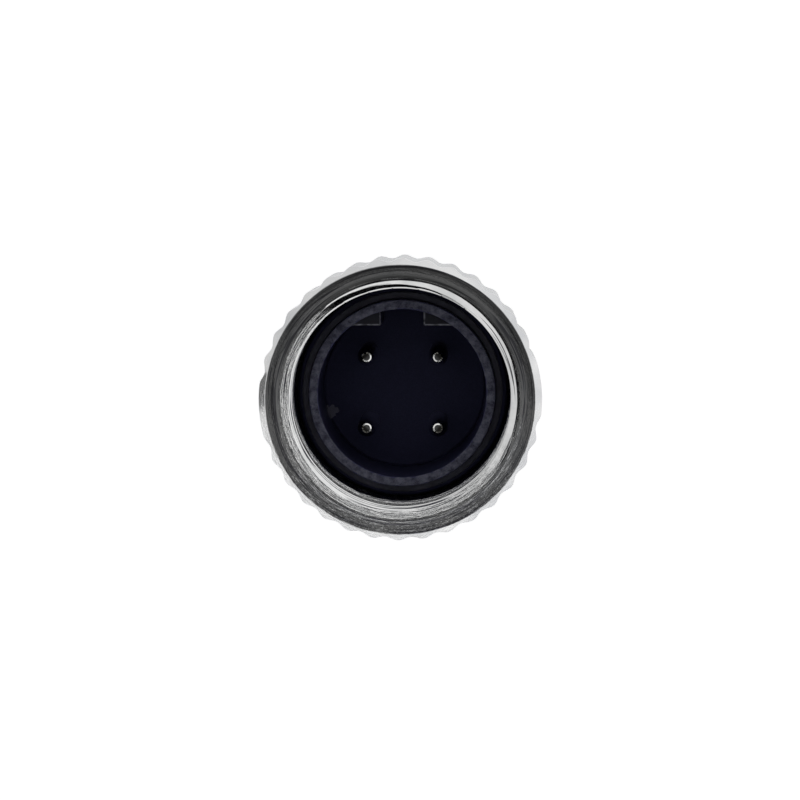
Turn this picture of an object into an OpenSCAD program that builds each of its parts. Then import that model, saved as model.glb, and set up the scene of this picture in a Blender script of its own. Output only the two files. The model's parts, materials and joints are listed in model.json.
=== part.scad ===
// Cable connector with a 12 mm coupling thread and four male contacts.
// It stands on the rear face of its gland nut, with +Z up the axis to the mating mouth
// and the keyway towards +Y. Millimetres.

/* [Coupling nut] */
// Nominal diameter of the coupling thread
thread_d = 12; // [11.4:0.05:13.5]
// Height of thread that stands inside the nut
thread_h = 0.4; // [0.3:0.05:0.45]
// Length of the threaded stretch
thread_l = 2.8; // [2.5:0.1:4]
// Length of the relief behind the thread
relief_l = 1.7; // [1:0.1:2]
// Bevel on the shoulder behind the relief
shoulder_bevel = 0.12; // [0.05:0.01:0.15]
// Wall of the nut outside the thread, at its front face
nut_wall = 0.8; // [0.7:0.05:1.2]
// Depth of the shallow bevel inside the front face
face_bevel = 0.08; // [0.05:0.01:0.15]
// Width of the shallow bevel inside the front face
face_bevel_w = 0.36; // [0.2:0.02:0.5]
// Rise of the grip over the front face
grip_rise = 0.35; // [0.3:0.05:0.6]
// Places around the grip
grip_places = 34; // [30:2:38]
// Places that each smooth land covers
land_places = 3; // [1:2:5]
// Depth of a flute of the grip
flute_h = 0.18; // [0.12:0.02:0.26]
// Width left at the top of a ridge
ridge_tip = 0.1; // [0.05:0.05:0.25]
// Length of the grip
grip_l = 8; // [6:0.5:9]
// Angle of the first land, anticlockwise from +X seen from the mouth
land_angle = 4.5; // [0:0.1:20]
// Wall of the nut outside the clip groove
rear_wall = 0.6; // [0.5:0.05:0.75]
// Length of the nut behind the clip groove
nut_lip_l = 2; // [1.5:0.1:3]
// Wire of the retaining clip
clip_wire = 0.8; // [0.6:0.05:0.9]
// Opening of the clip, in degrees
clip_opening = 34; // [20:1:60]
// Forward travel of the nut on the insert
nut_float = 1.2; // [0.8:0.1:1.6]

/* [Contact insert] */
// Inside diameter of the insert's wall
socket_d = 8.75; // [8.4:0.05:8.9]
// Thickness of the insert's wall
wall_t = 0.48; // [0.4:0.02:0.5]
// Depth of the cavity around the contacts
socket_depth = 6.5; // [6:0.1:7]
// Height of the wall over the flange
wall_h = 1.9; // [1.5:0.1:2.5]
// Thickness of the flange
flange_t = 1.6; // [1.2:0.1:2]
// Diameter of the neck that the clip runs on
neck_d = 10; // [9.9:0.05:10.1]
// Step of the flange over the neck
flange_step = 0.52; // [0.4:0.02:0.7]
// Radius of the edge of the flange
flange_edge = 0.15; // [0.1:0.01:0.18]
// Distance from the axis to the face of the key blocks
key_face = 3.65; // [3.4:0.05:3.8]
// Width of the keyway between the blocks
keyway_w = 2.2; // [1.8:0.1:2.6]
// Depth of the key blocks below the rim of the wall
key_drop = 0.4; // [0.2:0.1:1]
// Bevel on the rim of the wall
rim_bevel = 0.06; // [0.02:0.01:0.1]
// Thickness of the mating seal
seal_t = 0.8; // [0.5:0.1:1]
// Width of the mating seal
seal_w = 0.36; // [0.3:0.02:0.44]

/* [Contacts] */
// Distance between neighbouring contacts
contact_pitch = 3.71; // [3.5:0.01:3.8]
// Diameter of a contact
contact_d = 1; // [0.8:0.05:1.1]
// Depth of a contact's tip below the rim of the wall
contact_drop = 0.5; // [0.3:0.1:1]
// Step of the shank in the floor of the insert over the contact
shank_step = 0.25; // [0.05:0.05:0.35]
// Diameter of the flat on a contact's tip
tip_flat = 0.2; // [0.1:0.05:0.3]
// Diameter of the collar that the retainer holds
collar_d = 2.1; // [2:0.05:2.2]
// Diameter of the solder cup
cup_d = 1.6; // [1.5:0.05:1.8]
// Bore of the solder cup
cup_bore = 1.1; // [0.9:0.05:1.2]
// Length of the solder cup behind the retainer
cup_l = 3.9; // [3:0.1:5]
// Length of the collar in the floor of the insert
collar_l = 1.9; // [1:0.1:2.2]
// Thickness of the contact retainer
retainer_t = 2.2; // [1.5:0.1:2.6]
// Wall of the insert round the retainer
pocket_wall = 0.95; // [0.7:0.05:1]

/* [Back shell] */
// Diameter of the insert's rear thread
rear_thread_d = 9.9; // [9.7:0.05:10]
// Length of the insert's rear thread
rear_thread_l = 4.5; // [4.5:0.1:6]
// Section of the shell seal
shell_seal_d = 1; // [0.8:0.05:1.1]
// Wall of the shell outside its seal
shell_wall = 0.8; // [0.7:0.05:1]
// Diameter of the shell at its rear end
shell_rear_d = 11.8; // [11.4:0.1:12.2]
// Distance across the shell's wrench flats
shell_flats = 11.5; // [11.2:0.1:11.8]
// Length of the wrench flats
shell_flats_l = 8; // [6:0.5:10]
// Length of full diameter between the flats and the taper
shell_collar_l = 1.2; // [0.8:0.1:2]
// Length of the taper behind that collar
shell_taper_l = 2; // [1:0.5:3]

/* [Cable clamp] */
// Diameter of the parts that fill the shell
stack_d = 8.8; // [8.6:0.05:9]
// Height of the cones on the shield rings
shield_cone = 0.5; // [0.3:0.05:0.6]
// Flat rim outside the cones
shield_rim = 0.4; // [0.3:0.05:0.6]
// Length of the distance shells
distance_l = 7.5; // [6:0.5:10]
// Wall of the distance shells
distance_wall = 0.7; // [0.5:0.05:0.8]
// Bore of the shield rings
shield_bore = 5.6; // [5.2:0.1:6]
// Thickness of the front shield ring
shield_front_t = 0.85; // [0.7:0.05:1.2]
// Thickness of the rear shield ring
shield_rear_t = 1.1; // [1:0.05:1.5]
// Length of the cable seal
cable_seal_l = 4; // [3:0.5:6]
// Bore of the cable seal
cable_seal_bore = 4.6; // [4:0.1:5]
// Ribs in the bore of the cable seal
rib_count = 4; // [3:1:6]
// Height of those ribs
rib_h = 0.25; // [0.15:0.05:0.35]
// Thickness of the pressure washer
washer_t = 0.5; // [0.4:0.05:0.8]
// Length of the pinch ring
pinch_l = 3.2; // [3.1:0.1:4]
// Bore of the pinch ring
pinch_bore = 5; // [4.6:0.1:5.2]
// Length of the pinch ring that the slits leave whole
pinch_base_l = 0.8; // [0.6:0.1:1.2]
// Wall of the fingers at their tips
finger_wall = 0.45; // [0.35:0.05:0.55]
// Fingers of the pinch ring
finger_count = 8; // [6:1:10]
// Width of the slits between fingers
slit_w = 0.5; // [0.3:0.05:0.6]
// Half angle of the cone that closes the fingers
cone_angle = 34; // [32:1:38]
// Length of the fingers inside the thrust ring
finger_entry = 0.8; // [0.6:0.05:0.9]
// Length of the thrust ring's bore below its cone
ring_throat_l = 0.13; // [0.1:0.01:0.3]
// Length of the thrust ring's lip
ring_lip_l = 0.55; // [0.45:0.05:0.7]
// Overhang that keeps the lip in the gland nut
ring_overhang = 0.25; // [0.2:0.05:0.35]

/* [Gland nut] */
// Diameter of the gland nut's thread
gland_thread_d = 9.4; // [9.3:0.05:9.5]
// Length of the gland nut's thread
gland_thread_l = 5; // [4.5:0.1:6]
// Distance across the hexagon
hexagon = 10.5; // [10:0.1:11]
// Length of the hexagonal head
head_l = 7; // [5:0.5:9]
// Bore for the cable
cable_bore = 5.4; // [5:0.1:5.6]
// Reach of the head's corners over its flats
corner_reach = 0.55; // [0.4:0.05:0.7]
// Bevel on the corners of the head
head_bevel = 0.9; // [0.6:0.1:1.2]
// Wall of the nose that holds the thrust ring
gland_nose_wall = 0.55; // [0.45:0.05:0.65]
// Radius of the flare at the cable entry
flare_r = 0.9; // [0.5:0.1:1.2]

/* [Clearances] */
// Radial clearance of a turning fit
running_gap = 0.05; // [0.03:0.01:0.08]
// Radial clearance of the flange in the nut
guide_gap = 0.08; // [0.05:0.01:0.1]
// Clearance between parts that rest against each other
seat_gap = 0.05; // [0.02:0.01:0.08]
// Gap behind a shoulder that doesn't meet its neighbour
free_gap = 0.3; // [0.2:0.05:0.4]
// Radial clearance of a contact, seal or retainer in its seat
snug_gap = 0.02; // [0.01:0.005:0.03]
// Size of the bevels on turned edges
edge = 0.25; // [0.15:0.05:0.3]

/* [Hidden] */
$fn = 96;
arc_steps = 6;

nickel = [0.76, 0.77, 0.79];
nylon = [0.06, 0.06, 0.08];
rubber = [0.09, 0.09, 0.1];
silver = [0.82, 0.82, 0.83];
brass = [0.78, 0.66, 0.4];
ivory = [0.86, 0.85, 0.8];

// Heights, from the rear face of the gland nut up
z_shell_rear = head_l + free_gap;
z_nose = head_l + gland_thread_l;
z_finger_tip = z_nose - finger_entry;
z_pinch_top = z_finger_tip + pinch_l;
z_washer = z_pinch_top + seat_gap;
z_cable_seal = z_washer + washer_t + seat_gap;
z_shield_rear = z_cable_seal + cable_seal_l + seat_gap;
z_shield_front = z_shield_rear + shield_rear_t + seat_gap;
z_distance = z_shield_front + shield_front_t + seat_gap;
z_insert_rear = z_distance + distance_l + seat_gap;
z_seal_seat = z_insert_rear + rear_thread_l;
seal_seat_l = shell_seal_d + 2 * seat_gap;
z_shell_front = z_seal_seat + seal_seat_l + 2 * seat_gap;
z_nut_rear = z_shell_front + 2 * seat_gap;
z_groove = z_nut_rear + nut_lip_l;
z_clip = z_groove + 2 * seat_gap + clip_wire / 2;
z_flange_rear = z_clip + clip_wire / 2 + nut_float + 2 * seat_gap;
z_flange_front = z_flange_rear + flange_t;
z_rim = z_flange_front + wall_h;
z_shoulder = z_rim + 2 * seat_gap;
z_thread = z_shoulder + relief_l;
z_lead = z_thread + thread_l;
z_mouth = z_lead + thread_h + face_bevel;
z_floor = z_rim - socket_depth;
z_pocket = z_insert_rear + retainer_t + free_gap;
z_tip = z_rim - contact_drop;
z_chamber = z_nose + 2 * free_gap;

// Radii of the nut and what it runs on
mouth_r = thread_d / 2;
bore_r = mouth_r - thread_h;
face_r = mouth_r + nut_wall;
grip_r = face_r + grip_rise;
neck_r = neck_d / 2;
socket_r = socket_d / 2;
wall_r = socket_r + wall_t;
seal_in_r = wall_r + snug_gap;
seal_out_r = seal_in_r + seal_w;
// The flange holds the clip behind it and carries the whole of the mating seal
flange_r = max(neck_r + flange_step, seal_out_r);
guide_r = flange_r + guide_gap;
clip_in_r = flange_r - flange_step + guide_gap;
clip_out_r = clip_in_r + clip_wire;
groove_r = clip_out_r + guide_gap;
relief_r = mouth_r + guide_gap;
rear_r = groove_r + rear_wall;
grip_bottom = z_mouth - grip_rise - grip_l;

// Radii of the insert's rear, the shell and what fills it
rear_thread_r = rear_thread_d / 2;
pocket_r = rear_thread_r - pocket_wall;
seal_seat_r = rear_thread_r - shell_seal_d / 2;
shank_r = contact_d / 2 + shank_step;
shell_seal_r = seal_seat_r + shell_seal_d / 2 + snug_gap;
shell_mouth_r = shell_seal_r + shell_seal_d / 2 + running_gap;
shell_front_r = shell_mouth_r + shell_wall;
shell_rear_r = shell_rear_d / 2;
stack_r = stack_d / 2;
chamber_r = stack_r + 2 * running_gap;
gland_thread_r = gland_thread_d / 2;

// The captive thrust ring, whose cone stands clear of the fingers
cone_gap = 2 * seat_gap;
finger_tip_r = pinch_bore / 2 + finger_wall;
ring_lip_r = gland_thread_r - gland_nose_wall - running_gap;
ring_body_r = ring_lip_r - ring_overhang;
ring_bore_r = cable_bore / 2;
z_cone = z_finger_tip - (finger_tip_r + cone_gap - ring_bore_r) / tan(cone_angle);
z_ring = z_cone - ring_throat_l;

function arc(cx, cy, r, from, to, steps = arc_steps) =
    [for (i = [0:steps]) let (a = from + (to - from) * i / steps)
        [cx + r * cos(a), cy + r * sin(a)]];

module turned(outline) {
    rotate_extrude() polygon(outline);
}

module ring(inner, outer, z0, z1) {
    turned([[inner, z0], [outer, z0], [outer, z1], [inner, z1]]);
}

// Flutes leave a ridge of ridge_tip between them
grip_pitch = 2 * PI * grip_r / grip_places;
flute_half = (grip_pitch - ridge_tip) / 2;
flute_r = (flute_half * flute_half + flute_h * flute_h) / (2 * flute_h);
z_grip_foot = grip_bottom - (grip_r - rear_r);

module grip_flutes() {
    for (side = [0, 1], i = [0:grip_places / 2 - land_places])
        rotate([0, 0, land_angle + (side * grip_places / 2 + land_places / 2 + i) * 360 / grip_places])
            translate([grip_r - flute_h + flute_r, 0, z_grip_foot - 1])
                cylinder(r = flute_r, h = z_mouth - z_grip_foot + 2);
}

module coupling_nut() {
    color(nickel) difference() {
        turned([[guide_r + edge, z_nut_rear], [rear_r - edge, z_nut_rear],
                [rear_r, z_nut_rear + edge], [rear_r, z_grip_foot],
                [grip_r, grip_bottom], [grip_r, z_mouth - grip_rise], [face_r, z_mouth],
                [mouth_r + face_bevel_w, z_mouth], [mouth_r, z_mouth - face_bevel],
                [bore_r, z_lead], [bore_r, z_thread],
                [relief_r, z_thread], [relief_r, z_shoulder],
                [guide_r + shoulder_bevel, z_shoulder], [guide_r, z_shoulder - shoulder_bevel],
                [guide_r, z_clip + clip_wire / 2 + 2 * seat_gap],
                [groove_r, z_clip + clip_wire / 2 + 2 * seat_gap],
                [groove_r, z_groove], [guide_r, z_groove],
                [guide_r, z_nut_rear + edge]]);
        grip_flutes();
    }
}

module nut_clip() {
    color(nickel) difference() {
        translate([0, 0, z_clip]) rotate_extrude()
            translate([clip_in_r + clip_wire / 2, 0]) circle(d = clip_wire, $fn = 32);
        translate([0, 0, z_clip - clip_wire]) linear_extrude(2 * clip_wire)
            polygon([[0, 0],
                     [2 * grip_r * cos(clip_opening / 2), -2 * grip_r * sin(clip_opening / 2)],
                     [2 * grip_r * cos(clip_opening / 2), 2 * grip_r * sin(clip_opening / 2)]]);
    }
}

module at_contacts() {
    for (x = [-1, 1], y = [-1, 1])
        translate([x * contact_pitch / 2, y * contact_pitch / 2, 0]) children();
}

// Two blocks inside the wall leave the keyway between them
module key_blocks() {
    root = wall_t;
    intersection() {
        cylinder(r = socket_r + wall_t / 2, h = z_rim - key_drop);
        for (side = [-1, 1])
            translate([side * (keyway_w / 2 + socket_r / 2), key_face + socket_r / 2, z_floor - root])
                linear_extrude(z_rim - key_drop - z_floor + root)
                    square(socket_r, center = true);
    }
}

module contact_insert() {
    color(nylon) difference() {
        union() {
            turned(concat(
                [[0, z_pocket], [pocket_r, z_pocket], [pocket_r, z_insert_rear],
                 [rear_thread_r - edge, z_insert_rear], [rear_thread_r, z_insert_rear + edge],
                 [rear_thread_r, z_seal_seat], [seal_seat_r, z_seal_seat],
                 [seal_seat_r, z_seal_seat + seal_seat_l], [neck_r, z_seal_seat + seal_seat_l],
                 [neck_r, z_flange_rear]],
                arc(flange_r - flange_edge, z_flange_rear + flange_edge, flange_edge, -90, 0),
                arc(flange_r - flange_edge, z_flange_front - flange_edge, flange_edge, 0, 90),
                [[wall_r, z_flange_front], [wall_r, z_rim - rim_bevel], [wall_r - rim_bevel, z_rim],
                 [socket_r + rim_bevel, z_rim], [socket_r, z_rim - rim_bevel],
                 [socket_r, z_floor], [0, z_floor]]));
            key_blocks();
        }
        at_contacts() translate([0, 0, z_pocket - 1])
            cylinder(r = shank_r + snug_gap, h = z_floor - z_pocket + 2, $fn = 48);
        at_contacts() translate([0, 0, z_pocket - 1])
            cylinder(d = collar_d + 2 * snug_gap, h = collar_l + 1 + snug_gap, $fn = 48);
    }
}

module mating_seal() {
    color(rubber) ring(seal_in_r, seal_out_r, z_flange_front, z_flange_front + seal_t);
}

module contact(x, y) {
    tip_r = (contact_d - tip_flat) / 2;
    z_cup = z_insert_rear - cup_l;
    bore_l = 0.75 * cup_l;
    cutaway_l = 0.5 * cup_l;
    color(silver) translate([x * contact_pitch / 2, y * contact_pitch / 2, 0]) difference() {
        turned(concat(
            [[0, z_cup], [cup_d / 2, z_cup], [cup_d / 2, z_pocket], [collar_d / 2, z_pocket],
             [collar_d / 2, z_pocket + collar_l], [shank_r, z_pocket + collar_l],
             [shank_r, z_floor], [contact_d / 2, z_floor]],
            arc(tip_flat / 2, z_tip - tip_r, tip_r, 0, 90), [[0, z_tip]]));
        translate([0, 0, z_cup - 1]) cylinder(d = cup_bore, h = bore_l + 1, $fn = 48);
        translate([-cup_d, y > 0 ? 0 : -2 * cup_d, z_cup - 1])
            cube([2 * cup_d, 2 * cup_d, cutaway_l + 1]);
    }
}

module contact_retainer() {
    retainer_r = pocket_r - snug_gap;
    color(nylon) difference() {
        turned([[0, z_pocket - retainer_t], [retainer_r - edge, z_pocket - retainer_t],
                [retainer_r, z_pocket - retainer_t + edge], [retainer_r, z_pocket],
                [0, z_pocket]]);
        at_contacts() translate([0, 0, z_pocket - retainer_t - 1])
            cylinder(d = cup_d + 2 * snug_gap, h = retainer_t + 2, $fn = 48);
    }
}

module shell_seal() {
    color(rubber) translate([0, 0, z_seal_seat + seal_seat_l / 2]) rotate_extrude()
        translate([shell_seal_r, 0]) circle(d = shell_seal_d - snug_gap, $fn = 32);
}

module wrench_flats(across, length, z0) {
    for (side = [-1, 1])
        translate([side * (across / 2 + grip_r), 0, z0 + length / 2])
            cube([2 * grip_r, 4 * grip_r, length], center = true);
}

module back_shell() {
    z_step = z_insert_rear - free_gap;
    z_flats = z_insert_rear - shell_flats_l;
    z_collar = z_flats - shell_collar_l;
    color(nickel) difference() {
        turned([[gland_thread_r + running_gap + edge, z_shell_rear],
                [shell_rear_r - edge, z_shell_rear], [shell_rear_r, z_shell_rear + edge],
                [shell_rear_r, z_collar - shell_taper_l], [shell_front_r, z_collar],
                [shell_front_r, z_shell_front - edge], [shell_front_r - edge, z_shell_front],
                [shell_mouth_r, z_shell_front], [shell_mouth_r, z_seal_seat - seat_gap],
                [rear_thread_r + running_gap, z_seal_seat - seat_gap],
                [rear_thread_r + running_gap, z_step], [chamber_r, z_step],
                [chamber_r, z_chamber], [gland_thread_r + running_gap, z_chamber],
                [gland_thread_r + running_gap, z_shell_rear + edge]]);
        wrench_flats(shell_flats, shell_flats_l, z_flats);
    }
}

// Half of a split insulating tube round the solder cups
module distance_shell(side) {
    color(ivory) difference() {
        ring(stack_r - distance_wall, stack_r, z_distance, z_distance + distance_l);
        translate([-side * stack_r + side * seat_gap / 2, 0, z_distance + distance_l / 2])
            cube([2 * stack_r, 3 * stack_r, distance_l + 2], center = true);
    }
}

// Two rings with matching cones hold the cable's braid between them
module shield_ring_front() {
    top = z_shield_front + shield_front_t;
    color(brass) turned([[shield_bore / 2, z_shield_front + shield_cone],
                         [stack_r - shield_rim, z_shield_front], [stack_r, z_shield_front],
                         [stack_r, top], [shield_bore / 2, top]]);
}

module shield_ring_rear() {
    top = z_shield_rear + shield_rear_t;
    color(brass) turned([[shield_bore / 2, z_shield_rear], [stack_r, z_shield_rear],
                         [stack_r, top], [stack_r - shield_rim, top],
                         [shield_bore / 2, top + shield_cone]]);
}

module cable_seal() {
    inner = cable_seal_bore / 2;
    top = z_cable_seal + cable_seal_l;
    pitch = cable_seal_l / (rib_count + 1);
    ribs = [for (i = [2 * rib_count:-1:2])
        [i % 2 == 0 ? inner : inner + rib_h, z_cable_seal + i * pitch / 2]];
    color(rubber) turned(concat(
        [[inner + rib_h, z_cable_seal], [stack_r - edge, z_cable_seal],
         [stack_r, z_cable_seal + edge], [stack_r, top - edge],
         [stack_r - edge, top], [inner + rib_h, top]], ribs));
}

module pressure_washer() {
    color(brass) ring(pinch_bore / 2, stack_r, z_washer, z_washer + washer_t);
}

// Slotted ring whose tapered fingers close on the cable
module pinch_ring() {
    inner = pinch_bore / 2;
    slit_l = pinch_l - pinch_base_l;
    color(nylon) difference() {
        turned([[inner, z_finger_tip], [finger_tip_r, z_finger_tip],
                [stack_r, z_finger_tip + (stack_r - finger_tip_r) / tan(cone_angle)],
                [stack_r, z_pinch_top], [inner, z_pinch_top]]);
        for (i = [0:finger_count - 1]) rotate([0, 0, (i + 0.5) * 360 / finger_count])
            translate([0, -slit_w / 2, z_finger_tip - 1])
                cube([stack_r + 1, slit_w, slit_l + 1]);
    }
}

// Ring held captive in the nose of the gland nut: it pushes the fingers without turning
module thrust_ring() {
    top = z_nose + seat_gap;
    top_r = finger_tip_r + cone_gap + (top - z_finger_tip) * tan(cone_angle);
    color(brass) turned([[ring_bore_r, z_ring], [ring_lip_r, z_ring],
                         [ring_lip_r, z_ring + ring_lip_l], [ring_body_r, z_ring + ring_lip_l],
                         [ring_body_r, top], [top_r, top], [ring_bore_r, z_cone]]);
}

module gland_nut() {
    hex_r = hexagon / 2 / cos(30);
    corner_r = hexagon / 2 + corner_reach;
    pocket_z = z_ring - seat_gap;
    root = 1;
    color(nickel) difference() {
        union() {
            intersection() {
                cylinder(r = hex_r, h = head_l, $fn = 6);
                turned([[0, 0], [corner_r - head_bevel, 0], [corner_r, head_bevel],
                        [corner_r, head_l - head_bevel / 2], [corner_r - head_bevel, head_l],
                        [0, head_l]]);
            }
            turned([[0, head_l - root], [gland_thread_r, head_l - root],
                    [gland_thread_r, z_nose - edge], [gland_thread_r - edge, z_nose], [0, z_nose]]);
        }
        translate([0, 0, -1]) cylinder(d = cable_bore, h = z_nose + 2);
        turned(concat([[0, -1], [cable_bore / 2 + flare_r, -1]],
                      arc(cable_bore / 2 + flare_r, flare_r, flare_r, 270, 180),
                      [[0, flare_r]]));
        translate([0, 0, pocket_z])
            cylinder(r = ring_lip_r + running_gap, h = ring_lip_l + 2 * seat_gap);
        translate([0, 0, pocket_z]) cylinder(r = ring_body_r + running_gap, h = z_nose - z_ring + 1);
    }
}

coupling_nut();
nut_clip();
contact_insert();
mating_seal();
contact(-1, 1);  // contact_1
contact(1, 1);  // contact_2
contact(1, -1);  // contact_3
contact(-1, -1);  // contact_4
contact_retainer();
shell_seal();
back_shell();
distance_shell(-1);  // distance_shell_left
distance_shell(1);  // distance_shell_right
shield_ring_front();
shield_ring_rear();
cable_seal();
pressure_washer();
pinch_ring();
thrust_ring();
gland_nut();
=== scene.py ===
# Round cable connector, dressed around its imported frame. Metres, +Z up to the mating mouth.
import json
import math

import bpy
from mathutils import Matrix, Vector


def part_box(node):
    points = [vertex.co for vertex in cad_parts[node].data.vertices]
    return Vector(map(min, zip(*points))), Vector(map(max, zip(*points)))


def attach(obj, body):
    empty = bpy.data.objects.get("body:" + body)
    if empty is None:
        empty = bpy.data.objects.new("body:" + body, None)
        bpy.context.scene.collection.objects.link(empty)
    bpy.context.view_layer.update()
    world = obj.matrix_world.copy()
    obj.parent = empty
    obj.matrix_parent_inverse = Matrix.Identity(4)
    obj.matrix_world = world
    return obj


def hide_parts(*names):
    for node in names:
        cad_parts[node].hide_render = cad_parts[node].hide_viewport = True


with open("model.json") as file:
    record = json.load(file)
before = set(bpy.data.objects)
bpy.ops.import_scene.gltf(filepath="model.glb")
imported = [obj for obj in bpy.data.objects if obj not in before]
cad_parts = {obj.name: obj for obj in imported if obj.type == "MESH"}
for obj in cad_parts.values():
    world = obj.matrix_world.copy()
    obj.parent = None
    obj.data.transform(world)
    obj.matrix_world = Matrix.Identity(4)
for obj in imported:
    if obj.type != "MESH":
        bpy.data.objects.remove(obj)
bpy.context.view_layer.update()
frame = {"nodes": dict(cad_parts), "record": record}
nodes = frame["nodes"]
mounts = {m["name"]: m for m in frame["record"]["mounts"]}
scene = bpy.context.scene
mm = 0.001


# helpers for modelling

def nodeSpan(name):  # lowest and highest z of a node, in millimetres
    low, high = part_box(name)
    return low.z / mm, high.z / mm


def nodeRadius(name):  # half of a round node's width, in millimetres
    low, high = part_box(name)
    return (high.y - low.y) / 2 / mm


def only(piece):
    bpy.ops.object.select_all(action="DESELECT")
    piece.select_set(True)
    bpy.context.view_layer.objects.active = piece


def named(piece, name):
    piece.name = name
    piece.data.name = name
    return piece


def edit(piece):
    only(piece)
    bpy.ops.object.mode_set(mode="EDIT")


def leaveEdit():
    bpy.ops.object.mode_set(mode="OBJECT")


def cleaned(piece, sharp=32):  # doubles merged, faces outwards, smooth between sharp edges
    edit(piece)
    bpy.ops.mesh.select_all(action="SELECT")
    bpy.ops.mesh.remove_doubles(threshold=1e-7)
    bpy.ops.mesh.normals_make_consistent(inside=False)
    leaveEdit()
    bpy.ops.object.shade_smooth_by_angle(angle=math.radians(sharp))
    return piece


def applied(piece, kind, **settings):  # adds a modifier and applies it at once
    only(piece)
    modifier = piece.modifiers.new(kind.title(), kind)
    for key, value in settings.items():
        setattr(modifier, key, value)
    bpy.ops.object.modifier_apply(modifier=modifier.name)
    return piece


def turned(name, outline, segments=192, solid=False):
    # pulls a ring of edges along an outline of (radius, height) in millimetres
    bpy.ops.object.select_all(action="DESELECT")
    radius, height = outline[0]
    bpy.ops.mesh.primitive_circle_add(
        vertices=segments, radius=radius * mm, location=(0, 0, height * mm),
        fill_type="NGON" if solid else "NOTHING")
    piece = named(bpy.context.object, name)
    bpy.ops.object.transform_apply(location=True, rotation=False, scale=False)
    edit(piece)
    bpy.ops.mesh.select_all(action="SELECT")
    if solid:
        bpy.ops.mesh.select_mode(type="EDGE")
        bpy.ops.mesh.region_to_loop()
    for nextRadius, nextHeight in outline[1:] + ([] if solid else outline[:1]):
        bpy.ops.mesh.extrude_region_move(
            TRANSFORM_OT_translate={"value": (0, 0, (nextHeight - height) * mm)})
        ratio = nextRadius / radius
        bpy.ops.transform.resize(value=(ratio, ratio, 1), center_override=(0, 0, 0))
        radius, height = nextRadius, nextHeight
    if solid:
        bpy.ops.mesh.edge_face_add()
    bpy.ops.mesh.select_mode(type="VERT")
    leaveEdit()
    return cleaned(piece)


def arc(centreRadius, centreHeight, size, start, end, steps=6):
    turns = [math.radians(start + (end - start) * i / steps) for i in range(steps + 1)]
    return [(centreRadius + size * math.cos(t), centreHeight + size * math.sin(t)) for t in turns]


def rod(name, radius, low, high, place=(0, 0), sides=64):
    bpy.ops.object.select_all(action="DESELECT")
    bpy.ops.mesh.primitive_cylinder_add(
        vertices=sides, radius=radius * mm, depth=(high - low) * mm,
        location=(place[0] * mm, place[1] * mm, (high + low) / 2 * mm))
    piece = named(bpy.context.object, name)
    bpy.ops.object.transform_apply(location=True, rotation=False, scale=False)
    return piece


def block(name, low, high):
    bpy.ops.object.select_all(action="DESELECT")
    size = [b - a for a, b in zip(low, high)]
    bpy.ops.mesh.primitive_cube_add(
        size=1, location=[(a + b) / 2 * mm for a, b in zip(low, high)])
    piece = named(bpy.context.object, name)
    piece.scale = [s * mm for s in size]
    bpy.ops.object.transform_apply(location=True, rotation=False, scale=True)
    return piece


def combined(piece, tool, how):  # cuts, joins or crosses a piece with a tool, which is then removed
    applied(piece, "BOOLEAN", operation=how, object=tool, solver="EXACT")
    bpy.data.objects.remove(tool)
    return piece


# helpers for materials

def linear(hexCode):
    parts = [int(hexCode[i:i + 2], 16) / 255 for i in (1, 3, 5)]
    return tuple(p / 12.92 if p <= 0.04045 else ((p + 0.055) / 1.055) ** 2.4 for p in parts) + (1,)


def add(tree, kind, settings=None, links=None, stops=()):
    node = tree.nodes.new(kind)
    for key, value in (settings or {}).items():
        if isinstance(key, str) and hasattr(node, key):
            setattr(node, key, value)
        else:
            node.inputs[key].default_value = value
    for key, source in (links or {}).items():
        tree.links.new(source, node.inputs[key])
    for index, (position, value) in enumerate(stops):  # of a colour ramp: a hex colour or a level
        elements = node.color_ramp.elements
        element = elements[index] if index < len(elements) else elements.new(position)
        element.position = position
        element.color = linear(value) if isinstance(value, str) else (value, value, value, 1)
    return node


def newMaterial(name):
    material = bpy.data.materials.new(name)
    material.use_nodes = True
    tree = material.node_tree
    tree.nodes.clear()
    shader = add(tree, "ShaderNodeBsdfPrincipled")
    add(tree, "ShaderNodeOutputMaterial", links={"Surface": shader.outputs["BSDF"]})
    place = add(tree, "ShaderNodeTexCoord").outputs["Object"]
    return material, tree, shader, place


def fromAxis(tree, place):  # distance from the part's axis
    flat = add(tree, "ShaderNodeVectorMath", {"operation": "MULTIPLY", 1: (1, 1, 0)}, {0: place})
    return add(tree, "ShaderNodeVectorMath", {"operation": "LENGTH"},
               {0: flat.outputs[0]}).outputs["Value"]


def ringPlace(tree, place, feed, breaks):
    # turned marks run round the axis as long broken arcs, a feed apart along the cut; the real
    # feed is near 0.05 mm, and it is drawn coarser wherever it would be too fine to show
    flat = add(tree, "ShaderNodeVectorMath", {"operation": "MULTIPLY", 1: (1, 1, 0)}, {0: place})
    around = add(tree, "ShaderNodeVectorMath", {"operation": "NORMALIZE"}, {0: flat.outputs[0]})
    height = add(tree, "ShaderNodeSeparateXYZ", links={0: place})
    heightShare = 0.7  # so that a cone's marks stay apart too
    cutLine = add(tree, "ShaderNodeMath", {"operation": "MULTIPLY_ADD", 1: heightShare},
                  {0: height.outputs["Z"], 2: fromAxis(tree, place)})
    cuts = add(tree, "ShaderNodeMath", {"operation": "MULTIPLY", 1: 1 / (feed * mm)},
               {0: cutLine.outputs[0]})
    along = add(tree, "ShaderNodeCombineXYZ", links={"Z": cuts.outputs[0]})
    rings = add(tree, "ShaderNodeVectorMath", {"operation": "MULTIPLY_ADD", 1: (breaks, breaks, 0)},
                {0: around.outputs[0], 2: along.outputs[0]})
    return rings.outputs[0], around.outputs[0]


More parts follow.
